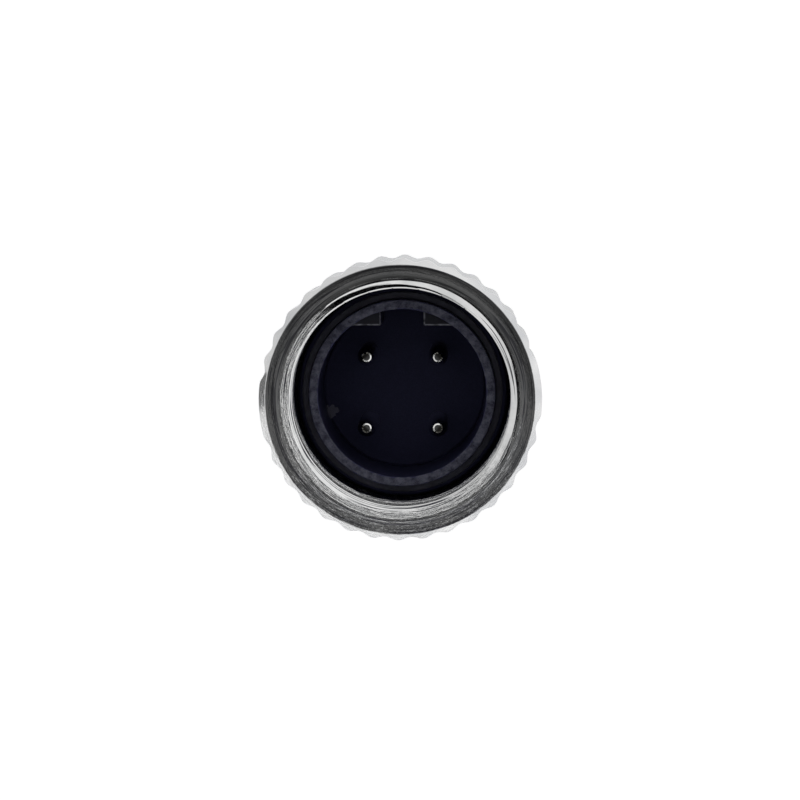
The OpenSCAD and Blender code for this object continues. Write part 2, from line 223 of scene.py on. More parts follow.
def turnedNickel(name, look):
    # bright nickel plate over turned brass: the tool's marks stay under the plate, and where
    # they are torn the plate is duller
    material, tree, shader, place = newMaterial(name)
    shader.inputs["Metallic"].default_value = 1
    rings, around = ringPlace(tree, place, look["feed"], look["breaks"])
    towards = math.radians(look["chatterSide"])
    side = (math.cos(towards), math.sin(towards), 0)
    facing = add(tree, "ShaderNodeVectorMath", {"operation": "DOT_PRODUCT", 1: side}, {0: around})
    sided = add(tree, "ShaderNodeMapRange", {
        "From Min": look["chatterEdge"] - look["chatterFade"],
        "From Max": look["chatterEdge"] + look["chatterFade"]}, {"Value": facing.outputs["Value"]})
    height = add(tree, "ShaderNodeSeparateXYZ", links={0: place})
    upper = add(tree, "ShaderNodeMapRange", {
        "From Min": (look["chatterAbove"] - look["chatterStep"]) * mm,
        "From Max": (look["chatterAbove"] + look["chatterStep"]) * mm},
        {"Value": height.outputs["Z"]})
    worst = add(tree, "ShaderNodeMath", {"operation": "MULTIPLY"},
                {0: sided.outputs[0], 1: upper.outputs[0]})
    chatter = add(tree, "ShaderNodeMath", {"operation": "MULTIPLY_ADD", 1: 1 - look["calm"],
                                           2: look["calm"]}, {0: worst.outputs[0]})
    noise = add(tree, "ShaderNodeTexNoise", {
        "Scale": 1.0, "Detail": look["detail"], "Roughness": 0.7}, {"Vector": rings})
    centred = add(tree, "ShaderNodeMath", {"operation": "SUBTRACT", 1: 0.5},
                  {0: noise.outputs["Fac"]})
    marks = add(tree, "ShaderNodeMath", {"operation": "MULTIPLY"},
                {0: centred.outputs[0], 1: chatter.outputs[0]})
    cloud = add(tree, "ShaderNodeTexNoise", {"Scale": 1 / (look["patch"] * mm), "Detail": 4.0},
                {"Vector": place})
    pits = add(tree, "ShaderNodeTexNoise", {"Scale": 1 / (look["grain"] * mm), "Detail": 2.0},
               {"Vector": place})
    plate = add(tree, "ShaderNodeValToRGB", links={"Fac": cloud.outputs["Fac"]},
                stops=[(0.35, look["dull"]), (0.65, look["bright"])])
    # painted shade: past a given distance from the part's axis the colour darkens to a shade colour
    radius = fromAxis(tree, place)
    outer = add(tree, "ShaderNodeMapRange", {
        "From Min": look["paintedShadeFrom"] * mm,
        "From Max": (look["paintedShadeFrom"] + look["paintedShadeFade"]) * mm}, {"Value": radius})
    paintedShade = add(tree, "ShaderNodeMix", {"data_type": "RGBA", 7: linear(look["paintedShade"])},
                  {0: outer.outputs[0], 6: plate.outputs[0]})
    torn = add(tree, "ShaderNodeMapRange", {
        "From Min": look["tornFrom"], "From Max": look["tornTo"],
        "To Min": look["smooth"], "To Max": look["rough"]}, {"Value": marks.outputs[0]})
    colour = paintedShade.outputs[2]
    if look["scratch"]:  # single deeper cuts of the tool read as fine dark rings
        longRings = ringPlace(tree, place, look["scratchFeed"], look["scratchBreaks"])[0]
        scratches = add(tree, "ShaderNodeTexNoise", {"Scale": 1.0, "Detail": 2.0, "Roughness": 0.6},
                        {"Vector": longRings})
        scratch = add(tree, "ShaderNodeValToRGB", links={"Fac": scratches.outputs["Fac"]},
                      stops=[(look["scratchShare"], look["scratch"]),
                             (look["scratchShare"] + look["scratchFade"], "#ffffff")])
        scored = add(tree, "ShaderNodeMix", {"data_type": "RGBA", "blend_type": "MULTIPLY", 0: 1.0},
                     {6: colour, 7: scratch.outputs[0]})
        colour = scored.outputs[2]
    tree.links.new(colour, shader.inputs["Base Color"])
    tree.links.new(torn.outputs[0], shader.inputs["Roughness"])
    markBump = add(tree, "ShaderNodeBump", {"Strength": 1.0, "Distance": look["markDepth"] * mm},
                   {"Height": marks.outputs[0]})
    pitBump = add(tree, "ShaderNodeBump", {"Strength": 1.0, "Distance": look["pitDepth"] * mm},
                  {"Height": pits.outputs["Fac"], "Normal": markBump.outputs["Normal"]})
    tree.links.new(pitBump.outputs["Normal"], shader.inputs["Normal"])
    return material


def mouldedPlastic(name, look):
    # a moulded or cured surface: fine even grain under a low sheen
    material, tree, shader, place = newMaterial(name)
    grain = add(tree, "ShaderNodeTexNoise", {"Scale": 1 / (look["grain"] * mm), "Detail": 3.0},
                {"Vector": place})
    cloud = add(tree, "ShaderNodeTexNoise", {"Scale": 1 / (look["patch"] * mm), "Detail": 2.0},
                {"Vector": place})
    colour = add(tree, "ShaderNodeValToRGB", links={"Fac": cloud.outputs["Fac"]},
                 stops=[(0.3, look["dark"]), (0.7, look["light"])])
    sheen = add(tree, "ShaderNodeValToRGB", links={"Fac": grain.outputs["Fac"]},
                stops=[(0.3, look["smooth"]), (0.7, look["rough"])])
    tree.links.new(colour.outputs[0], shader.inputs["Base Color"])
    tree.links.new(sheen.outputs[0], shader.inputs["Roughness"])
    bump = add(tree, "ShaderNodeBump", {"Strength": 1.0, "Distance": look["grainDepth"] * mm},
               {"Height": grain.outputs["Fac"]})
    tree.links.new(bump.outputs["Normal"], shader.inputs["Normal"])
    return material


cutMarks = {  # chatter is the torn marks on one side, and calm is how deep they are elsewhere
    "breaks": 5, "detail": 3.0, "tornFrom": 0.06, "tornTo": 0.2,
    "chatterSide": 0, "chatterEdge": 0, "chatterFade": 0.3, "chatterAbove": 0, "chatterStep": 0.03,
    # painted shade, off unless its distance is set: the colour darkens beyond a distance from the
    # axis
    "calm": 1.0, "paintedShadeFrom": 100, "paintedShadeFade": 0.12, "paintedShade": "#77756f",
    "scratch": None, "scratchFeed": 0.09, "scratchBreaks": 1.5, "scratchShare": 0.42,
    "scratchFade": 0.05}
nickelLook = {
    **cutMarks, "feed": 0.1, "breaks": 9, "patch": 2.4, "grain": 0.12,
    "dull": "#c9cacc", "bright": "#dfdfdf", "smooth": 0.1, "rough": 0.4,
    "markDepth": 0.007, "pitDepth": 0.0006}
# satin nickel over fine turning: an even grey with a low broken sheen
nickel = turnedNickel("satinNickelPlate", {
    **nickelLook, "feed": 0.16, "breaks": 3, "patch": 6.0, "dull": "#a3a5a7", "bright": "#adaeb0",
    "smooth": 0.24, "rough": 0.5, "tornFrom": -0.1, "tornTo": 0.2, "markDepth": 0.022})
# bright nickel over a faced front: dark or light with what it mirrors, with rings of tool marks
facedLook = {
    **nickelLook, "rough": 0.5, "markDepth": 0.04, "chatterSide": 272, "chatterEdge": 0.3,
    "calm": 0.16, "tornFrom": 0.04}
facedNickel = turnedNickel("facedNickelPlate", {**facedLook, "scratch": "#a6a6ac"})
# the same plate on the grip's front edge, which the facing tool never scored
rolledNickel = turnedNickel("rolledNickelPlate", facedLook)
# bare turned brass: warm yellow with a soft sheen
brass = turnedNickel("turnedBrass", {
    **cutMarks, "feed": 0.12, "patch": 1.5, "grain": 0.12, "dull": "#b5924e", "bright": "#cda963",
    "smooth": 0.18, "rough": 0.4, "markDepth": 0.006, "pitDepth": 0.001})
# silver plate: near white and sharply bright, with painted shade darkening the outer side of each
# contact
silver = turnedNickel("silverPlatedContact", {
    **cutMarks, "feed": 0.3, "patch": 0.6, "grain": 0.08, "dull": "#d2d2d1", "bright": "#e8e8e6",
    "smooth": 0.05, "rough": 0.12, "markDepth": 0.001, "pitDepth": 0.0002, "paintedShadeFrom": 2.56})
# drawn spring wire: a plain mid grey
wire = turnedNickel("drawnSpringWire", {
    **cutMarks, "feed": 0.2, "patch": 0.8, "grain": 0.1, "dull": "#9b9b9a", "bright": "#b6b6b5",
    "smooth": 0.2, "rough": 0.32, "markDepth": 0.001, "pitDepth": 0.001})
# moulded black nylon: near black and a little blue, with a low sheen
nylon = mouldedPlastic("mouldedBlackNylon", {
    "grain": 0.06, "patch": 1.2, "dark": "#0f1018", "light": "#14151f",
    "smooth": 0.38, "rough": 0.52, "grainDepth": 0.003})
# moulded natural nylon: ivory and slightly cloudy
ivoryNylon = mouldedPlastic("mouldedIvoryNylon", {
    "grain": 0.07, "patch": 1.5, "dark": "#cdc7b4", "light": "#dad5c4",
    "smooth": 0.4, "rough": 0.55, "grainDepth": 0.003})
# cured nitrile rubber: matt black
rubber = mouldedPlastic("mouldedNitrileRubber", {
    "grain": 0.08, "patch": 0.9, "dark": "#17171b", "light": "#212126",
    "smooth": 0.6, "rough": 0.8, "grainDepth": 0.005})


def dress(piece, material):
    piece.data.materials.clear()
    piece.data.materials.append(material)
    return piece


print("materials made")


# coupling nut

nutLow, nutHigh = nodeSpan("coupling_nut")
nut = {
    "segments": 34 * 18, "places": 34, "land": 3, "landTurn": 4.5,
    "mouth": 6.0, "face": 6.8, "grip": nodeRadius("coupling_nut"), "rear": 6.56, "groove": 5.96,
    "guide": mounts["coupling_thread"]["dims"]["r_mm"], "relief": 6.08,
    "flute": 0.18, "dome": 0.008, "gripLength": 8.0, "faceBevel": 0.07,
    "faceBevelCurve": [(0.15, 0.048), (0.25, 0.022), (0.35, 0.007), (0.48, 0)],  # out and down
    "lipWidth": 0.07, "lipDrop": 0.055, "edge": 0.25, "corner": 0.035, "shoulder": 4.98,
    "shoulderBevel": 0.12, "grooveLow": 2.0, "grooveHigh": 3.0, "pitch": 0.75, "threadEnd": 3.28,
    "lastTurn": 2.75, "satinTilt": 0.3, "brightWidth": 0.3}
rise = nut["grip"] - nut["face"]
gripLow = nutHigh - rise - nut["gripLength"]
nutOutline = [
    (nut["guide"] + nut["edge"], nutLow), (nut["rear"] - nut["edge"], nutLow),
    (nut["rear"], nutLow + nut["edge"]), (nut["rear"], gripLow - (nut["grip"] - nut["rear"])),
    (nut["grip"], gripLow), (nut["grip"], nutHigh - rise), (nut["face"], nutHigh - nut["dome"]),
    *[(nut["mouth"] + out, nutHigh - down) for out, down in reversed(nut["faceBevelCurve"])],
    (nut["mouth"] + nut["lipWidth"], nutHigh - nut["faceBevel"]),
    (nut["mouth"], nutHigh - nut["faceBevel"] - nut["lipDrop"]),
    (nut["mouth"], nutHigh - nut["threadEnd"]), (nut["relief"], nutHigh - nut["threadEnd"]),
    (nut["relief"], nutHigh - nut["shoulder"]),
    (nut["guide"] + nut["shoulderBevel"], nutHigh - nut["shoulder"]),
    (nut["guide"], nutHigh - nut["shoulder"] - nut["shoulderBevel"]),
    (nut["guide"], nutLow + nut["grooveHigh"]), (nut["groove"], nutLow + nut["grooveHigh"]),
    (nut["groove"], nutLow + nut["grooveLow"]), (nut["guide"], nutLow + nut["grooveLow"]),
    (nut["guide"], nutLow + nut["edge"])]
nutPiece = turned("nut_body", nutOutline, nut["segments"])


def fluteDepthAt(x, y):  # how far the grip is cut at this angle
    place = (math.degrees(math.atan2(y, x)) - nut["landTurn"]) / (360 / nut["places"])
    half = nut["places"] / 2
    fromLand = (place + half / 2) % half - half / 2
    if abs(fromLand) < nut["land"] / 2 - 0.5:
        return 0
    return nut["flute"] * (0.5 - 0.5 * math.cos(2 * math.pi * fromLand))


tiny = 0.001  # how far apart two places may lie and still count as one
over = 1  # how far a cutter runs past the piece it cuts
phases = {}  # the grip's corners by how deep they go, front and rear apart
for vertex in nutPiece.data.vertices:
    if vertex.co.xy.length / mm > nut["grip"] - tiny:
        depth = round(fluteDepthAt(vertex.co.x, vertex.co.y), 4)
        isFront = vertex.co.z / mm > (nutLow + nutHigh) / 2
        if depth > 0:
            phases.setdefault((depth, isFront), []).append(vertex.index)
for (depth, isFront), members in phases.items():
    leaveEdit()
    edit(nutPiece)
    bpy.ops.mesh.select_all(action="DESELECT")
    leaveEdit()
    for index in members:
        nutPiece.data.vertices[index].select = True
    bpy.ops.object.mode_set(mode="EDIT")
    ratio = (nut["grip"] - depth) / nut["grip"]
    bpy.ops.transform.resize(value=(ratio, ratio, 1), center_override=(0, 0, 0))
    bpy.ops.transform.translate(value=(0, 0, (depth if isFront else -depth) * mm))
leaveEdit()
applied(nutPiece, "BEVEL", width=nut["corner"] * mm, segments=2, limit_method="ANGLE",
        angle_limit=math.radians(28), profile=0.6)
cleaned(nutPiece, 40)
for edge in nutPiece.data.edges:  # the face curves down to the lip and ends there crisply
    spread = [abs(nutPiece.data.vertices[i].co.xy.length / mm - nut["mouth"] - nut["lipWidth"])
              for i in edge.vertices]
    edge.use_edge_sharp = edge.use_edge_sharp or max(spread) < tiny
applied(nutPiece, "WEIGHTED_NORMAL", keep_sharp=True, weight=100)
dress(nutPiece, facedNickel)
nutPiece.data.materials.append(nickel)
nutPiece.data.materials.append(rolledNickel)
for face in nutPiece.data.polygons:  # the grip and the rear are satin, the front is bright
    out = face.center.xy.length / mm
    if abs(face.normal.z) < nut["satinTilt"] and out > nut["mouth"] + nut["brightWidth"]:
        face.material_index = 1
    elif out > nut["face"]:
        face.material_index = 2
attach(nutPiece, "nut")
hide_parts("coupling_nut")

# the thread: its profile is drawn along the bore, wound once round with a rise of one pitch,
# so that each turn meets the next, then cut by the lead-in cone and closed behind
thread = {
    "crestFlat": nut["pitch"] / 4, "rootFlat": nut["pitch"] / 8, "turns": 7, "turnsBelow": 1.6,
    "cuts": 6, "steps": 320, "skin": 0.03, "ledge": 0.04, "ledgeRise": 0.004, "lap": 0.025}
points = []
for turn in range(thread["turns"]):
    middle = nutHigh - nut["threadEnd"] + nut["pitch"] * (turn - thread["turnsBelow"])
    points += [(nut["guide"], middle - thread["crestFlat"] / 2),
               (nut["guide"], middle + thread["crestFlat"] / 2),
               (nut["mouth"], middle + nut["pitch"] / 2 - thread["rootFlat"] / 2),
               (nut["mouth"], middle + nut["pitch"] / 2 + thread["rootFlat"] / 2)]
points.append((nut["guide"], points[0][1] + nut["pitch"] * thread["turns"]))
bpy.ops.object.select_all(action="DESELECT")
bpy.ops.mesh.primitive_plane_add(size=mm, location=(0, 0, 0))
threadPiece = named(bpy.context.object, "nut_thread")
edit(threadPiece)
bpy.ops.mesh.select_all(action="SELECT")
bpy.ops.mesh.merge(type="CENTER")
bpy.ops.transform.translate(value=(points[0][0] * mm, 0, points[0][1] * mm))
for (radius, height), (nextRadius, nextHeight) in zip(points, points[1:]):
    bpy.ops.mesh.extrude_region_move(TRANSFORM_OT_translate={
        "value": ((nextRadius - radius) * mm, 0, (nextHeight - height) * mm)})
bpy.ops.mesh.select_all(action="SELECT")
bpy.ops.mesh.subdivide(number_cuts=thread["cuts"])
leaveEdit()
applied(threadPiece, "SCREW", axis="Z", screw_offset=nut["pitch"] * mm, iterations=1,
        steps=thread["steps"], render_steps=thread["steps"])
edit(threadPiece)
bpy.ops.mesh.select_all(action="SELECT")
bpy.ops.mesh.remove_doubles(threshold=1e-6)
lipFoot = nutHigh - nut["faceBevel"] - nut["lipDrop"]
leadTop = lipFoot + thread["lap"]
for height, way in ((leadTop, 1), (nutHigh - nut["lastTurn"], -1)):
    bpy.ops.mesh.select_all(action="SELECT")
    bpy.ops.mesh.bisect(plane_co=(0, 0, height * mm), plane_no=(0, 0, way), clear_outer=True)
leaveEdit()
leadLow = lipFoot - (nut["mouth"] - nut["guide"])
edit(threadPiece)
for height in (leadLow, leadLow + thread["ledgeRise"]):  # rings where the cone's foot will be
    bpy.ops.mesh.select_all(action="SELECT")
    bpy.ops.mesh.bisect(plane_co=(0, 0, height * mm), plane_no=(0, 0, 1))
leaveEdit()
ledgeTop = leadLow + thread["ledgeRise"]
leadSlope = (nut["mouth"] - nut["guide"] - thread["ledge"]) / (lipFoot - ledgeTop)
for vertex in threadPiece.data.vertices:  # nothing stands inside the bore and its cone
    radius = vertex.co.xy.length / mm
    above = vertex.co.z / mm - ledgeTop
    needed = nut["guide"]
    if above > -tiny / 2:
        needed += thread["ledge"] + above * leadSlope
    if radius < needed:
        vertex.co.x *= needed / radius
        vertex.co.y *= needed / radius
edit(threadPiece)
bpy.ops.mesh.select_mode(type="EDGE")
bpy.ops.mesh.select_all(action="SELECT")
bpy.ops.mesh.region_to_loop()
bpy.ops.mesh.extrude_region_move()
leaveEdit()
for vertex in threadPiece.data.vertices:
    if vertex.select:
        scaleOut = (nut["mouth"] + thread["skin"]) * mm / vertex.co.xy.length
        vertex.co.x *= scaleOut
        vertex.co.y *= scaleOut
edit(threadPiece)
bpy.ops.mesh.bridge_edge_loops()
bpy.ops.mesh.select_mode(type="VERT")
leaveEdit()
cleaned(threadPiece, 25)
# bright nickel over a bored thread: nearly a mirror, with dark tool lines in the cone
dress(threadPiece, turnedNickel("boredNickelPlate", {
    **cutMarks, "feed": 0.14, "patch": 1.0, "grain": 0.2, "dull": "#d2d3d3", "bright": "#e4e4e4",
    "smooth": 0.04, "rough": 0.35, "markDepth": 0.05, "pitDepth": 0.0006, "chatterSide": 235,
    "chatterEdge": -0.05, "chatterAbove": leadLow - 0.25, "calm": 0.05,
    "scratch": "#5c5c62", "scratchFeed": 0.13, "scratchBreaks": 1.2, "scratchShare": 0.36}))
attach(threadPiece, "nut")
print("coupling nut made")


# contact insert

insertLow, insertHigh = nodeSpan("contact_insert")
flangeRadius = nodeRadius("contact_insert")
insert = {
    "socket": 4.375, "wall": 4.855, "floor": insertHigh - 6.5, "flangeTop": insertHigh - 1.9,
    "flangeLow": insertHigh - 3.5, "neck": 5.0, "thread": 4.95, "seatLow": insertLow + 4.5,
    "seatHigh": insertLow + 5.6, "seat": 4.45, "pocket": 4.0, "pocketTop": insertLow + 2.5,
    "rimBevel": 0.06, "flangeEdge": 0.15, "edge": 0.25, "keyFace": 3.5, "keyGap": 2.2,
    "keyTop": insertHigh - 0.4, "keyEdge": 0.09, "keySink": 0.3, "keyBite": 0.2,
    "floorEdge": 0.1, "contact": 0.505, "collar": 1.07, "collarLength": 1.92, "middle": 0.2}
spacing = mounts["contacts"]["dims"]["spacing_x_mm"] / 2
contactSpots = {"contact_1": (-spacing, spacing), "contact_2": (spacing, spacing),
                "contact_3": (spacing, -spacing), "contact_4": (-spacing, -spacing)}
insertOutline = (
    [(insert["middle"], insert["pocketTop"]), (insert["pocket"], insert["pocketTop"]),
     (insert["pocket"], insertLow),
     (insert["thread"] - insert["edge"], insertLow), (insert["thread"], insertLow + insert["edge"]),
     (insert["thread"], insert["seatLow"]), (insert["seat"], insert["seatLow"]),
     (insert["seat"], insert["seatHigh"]), (insert["neck"], insert["seatHigh"]),
     (insert["neck"], insert["flangeLow"])]
    + arc(flangeRadius - insert["flangeEdge"], insert["flangeLow"] + insert["flangeEdge"],
          insert["flangeEdge"], -90, 0)
    + arc(flangeRadius - insert["flangeEdge"], insert["flangeTop"] - insert["flangeEdge"],
          insert["flangeEdge"], 0, 90)
    + [(insert["wall"], insert["flangeTop"])]
    + arc(insert["wall"] - insert["rimBevel"], insertHigh - insert["rimBevel"],
          insert["rimBevel"], 0, 90, 3)
    + arc(insert["socket"] + insert["rimBevel"], insertHigh - insert["rimBevel"],
          insert["rimBevel"], 90, 180, 3)
    + [(insert["socket"], insert["floor"] + insert["floorEdge"]),
       (insert["socket"] - insert["floorEdge"], insert["floor"]),
       (insert["middle"], insert["floor"])])
insertPiece = turned("insert_body", insertOutline, 256, solid=True)
for side in (-1, 1):
    near, far = side * insert["keyGap"] / 2, side * (insert["keyGap"] / 2 + insert["socket"])
    keyLow = (min(near, far), insert["keyFace"], insert["floor"] - insert["keySink"])
    keyHigh = (max(near, far), insert["keyFace"] + insert["socket"], insert["keyTop"])
    key = block("key_block", keyLow, keyHigh)
    applied(key, "BEVEL", width=insert["keyEdge"] * mm, segments=3)
    inWall = rod("key_round", insert["socket"] + insert["keyBite"], insert["floor"] - over,
                 insertHigh, sides=256)
    combined(key, inWall, "INTERSECT")
    combined(insertPiece, key, "UNION")
holeLow = insert["pocketTop"] - over
for place in contactSpots.values():
    hole = rod("contact_hole", insert["contact"], holeLow, insert["floor"] + over, place)
    combined(insertPiece, hole, "DIFFERENCE")
    collarTop = insert["pocketTop"] + insert["collarLength"]
    hole = rod("collar_hole", insert["collar"], holeLow, collarTop, place)
    combined(insertPiece, hole, "DIFFERENCE")
cleaned(insertPiece, 35)
applied(insertPiece, "WEIGHTED_NORMAL", keep_sharp=True, weight=100)


def insertNylon(look):
    # black nylon; the rim was faced off, so it is matt, greyer and ragged at its edges
    material, tree, shader, place = newMaterial("facedBlackNylon")
    grain = add(tree, "ShaderNodeTexNoise", {"Scale": 1 / (look["grain"] * mm), "Detail": 3.0},
                {"Vector": place})
    ragged = add(tree, "ShaderNodeTexNoise", {"Scale": 1 / (look["ragged"] * mm), "Detail": 5.0},
                 {"Vector": place})
    wander = add(tree, "ShaderNodeMath", {"operation": "MULTIPLY_ADD", 1: look["wander"] * mm,
                                          2: -look["wander"] / 2 * mm}, {0: ragged.outputs["Fac"]})
    shifted = add(tree, "ShaderNodeMath", {"operation": "ADD"},
                  {0: fromAxis(tree, place), 1: wander.outputs[0]})
    offCentre = add(tree, "ShaderNodeMath", {"operation": "SUBTRACT", 1: look["rimRadius"] * mm},
                    {0: shifted.outputs[0]})
    away = add(tree, "ShaderNodeMath", {"operation": "ABSOLUTE"}, {0: offCentre.outputs[0]})
    band = add(tree, "ShaderNodeMapRange", {
        "From Min": look["rimHalf"] * mm, "From Max": (look["rimHalf"] - look["rimFade"]) * mm},
        {"Value": away.outputs[0]})
    height = add(tree, "ShaderNodeSeparateXYZ", links={0: place})
    top = add(tree, "ShaderNodeMapRange", {
        "From Min": (insertHigh - look["facedFrom"]) * mm,
        "From Max": (insertHigh - look["facedTo"]) * mm}, {"Value": height.outputs["Z"]})
    mask = add(tree, "ShaderNodeMath", {"operation": "MULTIPLY"},
               {0: band.outputs[0], 1: top.outputs[0]})
    patchy = add(tree, "ShaderNodeMix", {"data_type": "FLOAT", 0: look["patchy"]},
                 {2: grain.outputs["Fac"], 3: ragged.outputs["Fac"]})
    rim = add(tree, "ShaderNodeValToRGB", links={"Fac": patchy.outputs[0]},
              stops=[(0.36, look["rimDark"]), (0.62, look["rimLight"])])
    body = add(tree, "ShaderNodeValToRGB", links={"Fac": grain.outputs["Fac"]},
               stops=[(0.3, look["dark"]), (0.7, look["light"])])
    colour = add(tree, "ShaderNodeMix", {"data_type": "RGBA"},
                 {0: mask.outputs[0], 6: body.outputs[0], 7: rim.outputs[0]})
    fromSmudge = add(tree, "ShaderNodeVectorMath",
                     {"operation": "DISTANCE", 1: [c * mm for c in look["smudge"]]}, {0: place})
    torn = add(tree, "ShaderNodeMath", {"operation": "MULTIPLY_ADD", 1: look["smudgeRagged"] * mm},
               {0: ragged.outputs["Fac"], 2: fromSmudge.outputs["Value"]})
    smudge = add(tree, "ShaderNodeMapRange", {
        "From Min": (look["smudgeSize"] + look["smudgeFade"]) * mm,
        "From Max": look["smudgeSize"] * mm, "To Max": look["smudgeStrength"]},
        {"Value": torn.outputs[0]})
    dusty = add(tree, "ShaderNodeMix", {"data_type": "RGBA", 7: linear(look["smudgeColour"])},
                {0: smudge.outputs[0], 6: colour.outputs[2]})
    tree.links.new(dusty.outputs[2], shader.inputs["Base Color"])
    rough = add(tree, "ShaderNodeMapRange", {
        "To Min": look["bodyRough"], "To Max": look["rimRough"]}, {"Value": mask.outputs[0]})
    tree.links.new(rough.outputs[0], shader.inputs["Roughness"])
    bump = add(tree, "ShaderNodeBump", {"Strength": 1.0, "Distance": look["grainDepth"] * mm},
               {"Height": grain.outputs["Fac"]})
    tree.links.new(bump.outputs["Normal"], shader.inputs["Normal"])
    shader.inputs["Specular IOR Level"].default_value = look["gloss"]
    shader.inputs["Specular Tint"].default_value = linear(look["glossColour"])
    return material


rimMiddle = (insert["socket"] + insert["wall"]) / 2
dress(insertPiece, insertNylon({
    "grain": 0.07, "ragged": 0.3, "wander": 0.3, "patchy": 0.7, "rimRadius": rimMiddle,
    "rimHalf": 0.23, "rimFade": 0.03, "facedFrom": 0.05, "facedTo": 0.01,
    "rimDark": "#3a3b47", "rimLight": "#7a7b89", "dark": "#2c2d46", "light": "#3b3c5a",
    "smudge": (-3.95, -1.4, insert["floor"] + 0.1), "smudgeSize": 0.75, "smudgeRagged": 0.9,
    "smudgeFade": 0.05, "smudgeStrength": 0.8, "smudgeColour": "#9a9aa6",
    "gloss": 0.85, "glossColour": "#c0c2ff", "bodyRough": 0.36, "rimRough": 0.9,
    "grainDepth": 0.004}))
# painted shade darkens the key blocks' tops, and a painted highlight lightens their bevelled edges
insertPiece.data.materials.append(mouldedPlastic("shadedBlackNylon", {
    "grain": 0.06, "patch": 0.8, "dark": "#131421", "light": "#191b2b",
    "smooth": 0.55, "rough": 0.7, "grainDepth": 0.002}))
# painted highlight along the key blocks' bevelled edges
insertPiece.data.materials.append(mouldedPlastic("paintedGlintBlackNylon", {
    "grain": 0.12, "patch": 0.3, "dark": "#1b1c26", "light": "#9a9ba9",
    "smooth": 0.3, "rough": 0.5, "grainDepth": 0.006}))
slack = 0.01  # how far past a key block's outline a face may lie and still belong to it
upright = 0.98  # a key's face whose normal rises more than this is its top
# the key tops take the painted shade, and their bevels the painted highlight
for face in insertPiece.data.polygons:
    place = face.center / mm
    if (place.y > insert["keyFace"] - slack and abs(place.x) > insert["keyGap"] / 2 - slack
            and place.xy.length < insert["socket"] - 2 * slack
            and insert["keyTop"] - insert["keyEdge"] - slack < place.z < insert["keyTop"] + slack):
        face.material_index = 1 if face.normal.z > upright else 2
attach(insertPiece, "housing")
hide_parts("contact_insert")

seal = {"inner": 4.875, "outer": nodeRadius("mating_seal"), "round": 0.1}
sealLow, sealHigh = nodeSpan("mating_seal")
sealOutline = (
    [(seal["inner"], sealLow), (seal["outer"], sealLow)]
    + arc(seal["outer"] - seal["round"], sealHigh - seal["round"], seal["round"], 0, 90)
    + arc(seal["inner"] + seal["round"], sealHigh - seal["round"], seal["round"], 90, 180))
sealPiece = turned("seal_ring", sealOutline)
# cured rubber: matt, with painted light making it grey and lighter than the nylon round it
dress(sealPiece, mouldedPlastic("mouldedRubberPaintedLight", {
    "grain": 0.08, "patch": 0.9, "dark": "#585866", "light": "#686878",
    "smooth": 0.5, "rough": 0.7, "grainDepth": 0.004}))
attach(sealPiece, "housing")
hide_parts("mating_seal")
print("insert made")


# contacts

contactLow, contactHigh = nodeSpan("contact_1")
contact = {
    "pin": mounts["contacts"]["dims"]["stud_r_mm"], "tipFlat": 0.18, "tipEdge": 0.25,
    "tipSlope": 26, "taper": 0.85, "collar": 1.05, "collarLow": insert["pocketTop"],
    "collarLength": 1.9, "cup": 0.8, "cupEdge": 0.03, "cupBore": 0.55, "cupDepth": 2.925,
    "cutaway": 1.95, "cut": 2}
collarHigh = contact["collarLow"] + contact["collarLength"]
tipDrop = (contact["tipEdge"] - contact["tipFlat"]) * math.tan(math.radians(contact["tipSlope"]))
contactOutline = [
    (contact["cup"] - contact["cupEdge"], contactLow),
    (contact["cup"], contactLow + contact["cupEdge"]),
    (contact["cup"], contact["collarLow"]), (contact["collar"], contact["collarLow"]),
    (contact["collar"], collarHigh), (contact["pin"], collarHigh),
    (contact["pin"], contactHigh - contact["taper"]), (contact["tipEdge"], contactHigh - tipDrop),
    (contact["tipFlat"], contactHigh)]
pattern = turned("pin_pattern", contactOutline, 72, solid=True)  # one contact, copied four times
cupBore = rod("cup_bore", contact["cupBore"], contactLow - over,
              contactLow + contact["cupDepth"])
combined(pattern, cupBore, "DIFFERENCE")
for name, (x, y) in contactSpots.items():
    only(pattern)
    bpy.ops.object.duplicate()
    pin = named(bpy.context.object, "pin_" + name[-1])
    # each solder cup opens away from the middle
    cutLow, cutHigh = (0, contact["cut"]) if y > 0 else (-contact["cut"], 0)
    cutaway = block("cup_cut", (-contact["cut"], cutLow, contactLow - over),
                    (contact["cut"], cutHigh, contactLow + contact["cutaway"]))
    combined(pin, cutaway, "DIFFERENCE")
    edit(pin)
    bpy.ops.mesh.select_all(action="SELECT")
    bpy.ops.transform.translate(value=(x * mm, y * mm, 0))
    leaveEdit()
    cleaned(pin, 20)
    dress(pin, silver)
    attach(pin, "housing")
    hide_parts(name)
bpy.data.objects.remove(pattern)
print("contacts made")


# back shell

